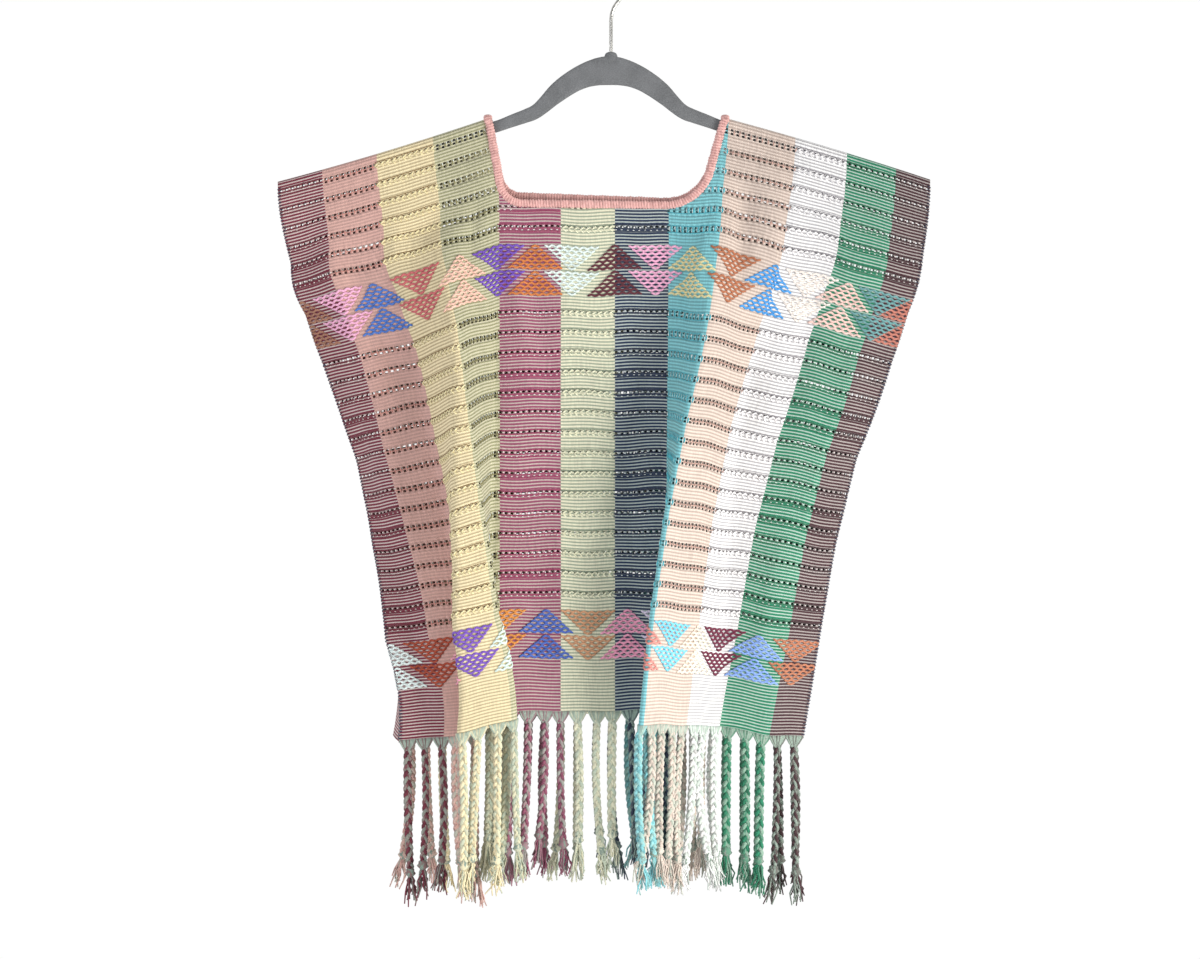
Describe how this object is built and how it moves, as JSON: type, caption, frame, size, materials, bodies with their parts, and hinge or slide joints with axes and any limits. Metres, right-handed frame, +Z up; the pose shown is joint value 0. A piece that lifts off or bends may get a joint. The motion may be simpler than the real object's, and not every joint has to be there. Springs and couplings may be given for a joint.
{
  "type": "huipil blouse on a hanger",
  "caption": "Square-necked woven blouse, folded at the shoulders over a slim hanger, open down the armholes, with pleated front and fringed hem.",
  "frame": {"origin": "inner top of the hanger's hook, where it hangs on a rail", "axes": "+Z up, the front of the blouse faces -Y, +X to the right as seen from the front"},
  "size_m": [0.6068, 0.144, 0.8912],
  "materials": {
    "web_front": "ribbed striped cotton with openwork rows",
    "web_back": "ribbed striped cotton with openwork rows",
    "binding_thread": "soft pink thread worked close",
    "braids_front": "braided cotton",
    "braids_back": "braided cotton",
    "hanger_flock": "flocked grey",
    "hook_metal": "bright metal wire"
  },
  "bodies": {
    "root": {"front": "web_front", "back": "web_back", "neck_binding": "binding_thread", "fringe_front": "braids_front", "fringe_back": "braids_back", "hanger_body": "hanger_flock", "hanger_hook": "hook_metal"}
  },
  "joints": []
}
